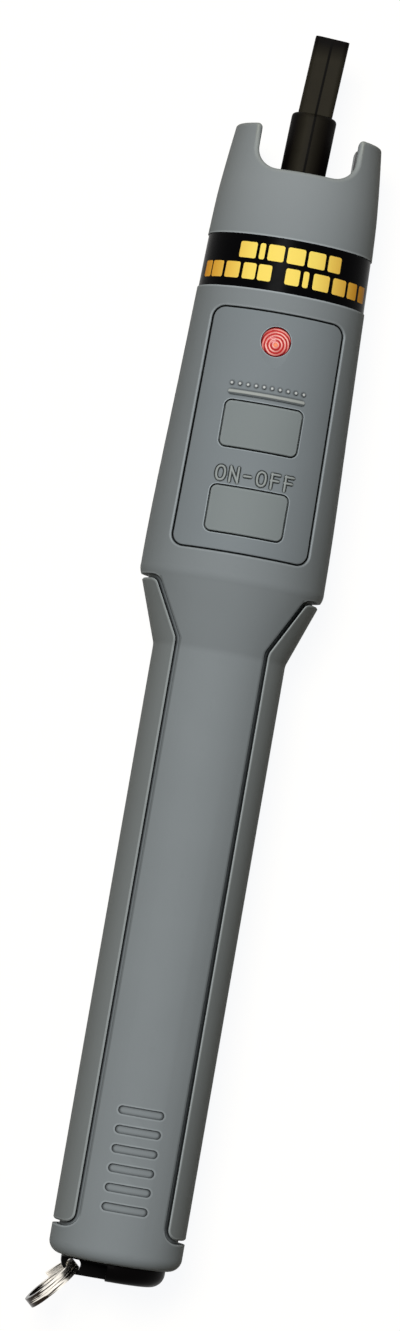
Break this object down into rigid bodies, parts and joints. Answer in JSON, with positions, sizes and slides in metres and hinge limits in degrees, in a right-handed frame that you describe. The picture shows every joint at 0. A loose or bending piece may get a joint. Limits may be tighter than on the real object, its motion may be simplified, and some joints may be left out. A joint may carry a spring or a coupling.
{
  "type": "visual fault locator",
  "caption": "Pen-shaped fibre test light: grey sleeve with side grips, key panel, forked nose round a capped fibre port, and a lug with a split ring at the base.",
  "frame": {"origin": "centre of the fibre port's mouth", "axes": "+Y along the body out of the port, +Z out of the side with the keys, so the part lies on its back"},
  "size_m": [0.0348, 0.2429, 0.0351],
  "materials": {
    "grey_sleeve": "soft-touch satin",
    "grey_grip": "fine matt grain",
    "label": "printed film",
    "grey_panel": "fine matt",
    "grey_key": "soft matt",
    "black_shell": "glossy moulding",
    "steel": "bright",
    "cell_jacket": "printed film round a metal can",
    "contact_brass": "plain strip",
    "board": "solder mask",
    "chip": "moulded epoxy",
    "switch_black": "moulded",
    "plunger": "moulded",
    "lamp": "clear red epoxy",
    "diode_can": "gold plated",
    "lens_glass": "polished",
    "barrel": "turned",
    "adapter": "turned and plated",
    "ceramic": "polished zirconia",
    "cap_rubber": "soft matt",
    "cap_black": "moulded",
    "seal_rubber": "smooth"
  },
  "bodies": {
    "housing": {"outer_sleeve": "grey_sleeve", "grip_left": "grey_grip", "grip_right": "grey_grip", "label_band": "label", "keypad_panel": "grey_panel", "mode_switch": "switch_black", "power_switch": "switch_black", "indicator_led": "lamp", "inner_shell_front": "black_shell", "inner_shell_rear": "black_shell", "shell_screws": "steel", "battery_rear": "cell_jacket", "battery_front": "cell_jacket", "front_contact": "contact_brass", "contact_strip": "contact_brass", "circuit_board": "board", "driver_chip": "chip", "laser_diode": "diode_can", "focus_lens": "lens_glass", "laser_housing": "barrel", "port_adapter": "adapter", "ferrule_sleeve": "ceramic"},
    "mode_key": {"mode_key": "grey_key", "mode_plunger": "plunger"},
    "power_key": {"power_key": "grey_key", "power_plunger": "plunger"},
    "dust_cap": {"dust_cap": "cap_rubber"},
    "end_cap": {"end_cap": "cap_black", "end_cap_seal": "seal_rubber", "cap_contact": "contact_brass", "battery_spring": "steel"},
    "split_ring": {"split_ring": "steel"}
  },
  "joints": [
    {"name": "mode_key_press", "type": "slide", "parent": "housing", "child": "mode_key", "axis": [0, 0, -1], "range_m": [0, 0.0008], "stiffness_N_per_m": 800},
    {"name": "power_key_press", "type": "slide", "parent": "housing", "child": "power_key", "axis": [0, 0, -1], "range_m": [0, 0.0008], "stiffness_N_per_m": 800},
    {"name": "dust_cap_pull", "type": "slide", "parent": "housing", "child": "dust_cap", "axis": [0, 1, 0], "range_m": [0, 0.04]},
    {"name": "end_cap_pull", "type": "slide", "parent": "housing", "child": "end_cap", "axis": [0, -1, 0], "range_m": [0, 0.03]},
    {"name": "ring_swing", "type": "hinge", "parent": "end_cap", "child": "split_ring", "pos_m": [-0.0073, -0.21365, 0], "axis": [0, 0, 1], "range_deg": [-40, 45]}
  ]
}
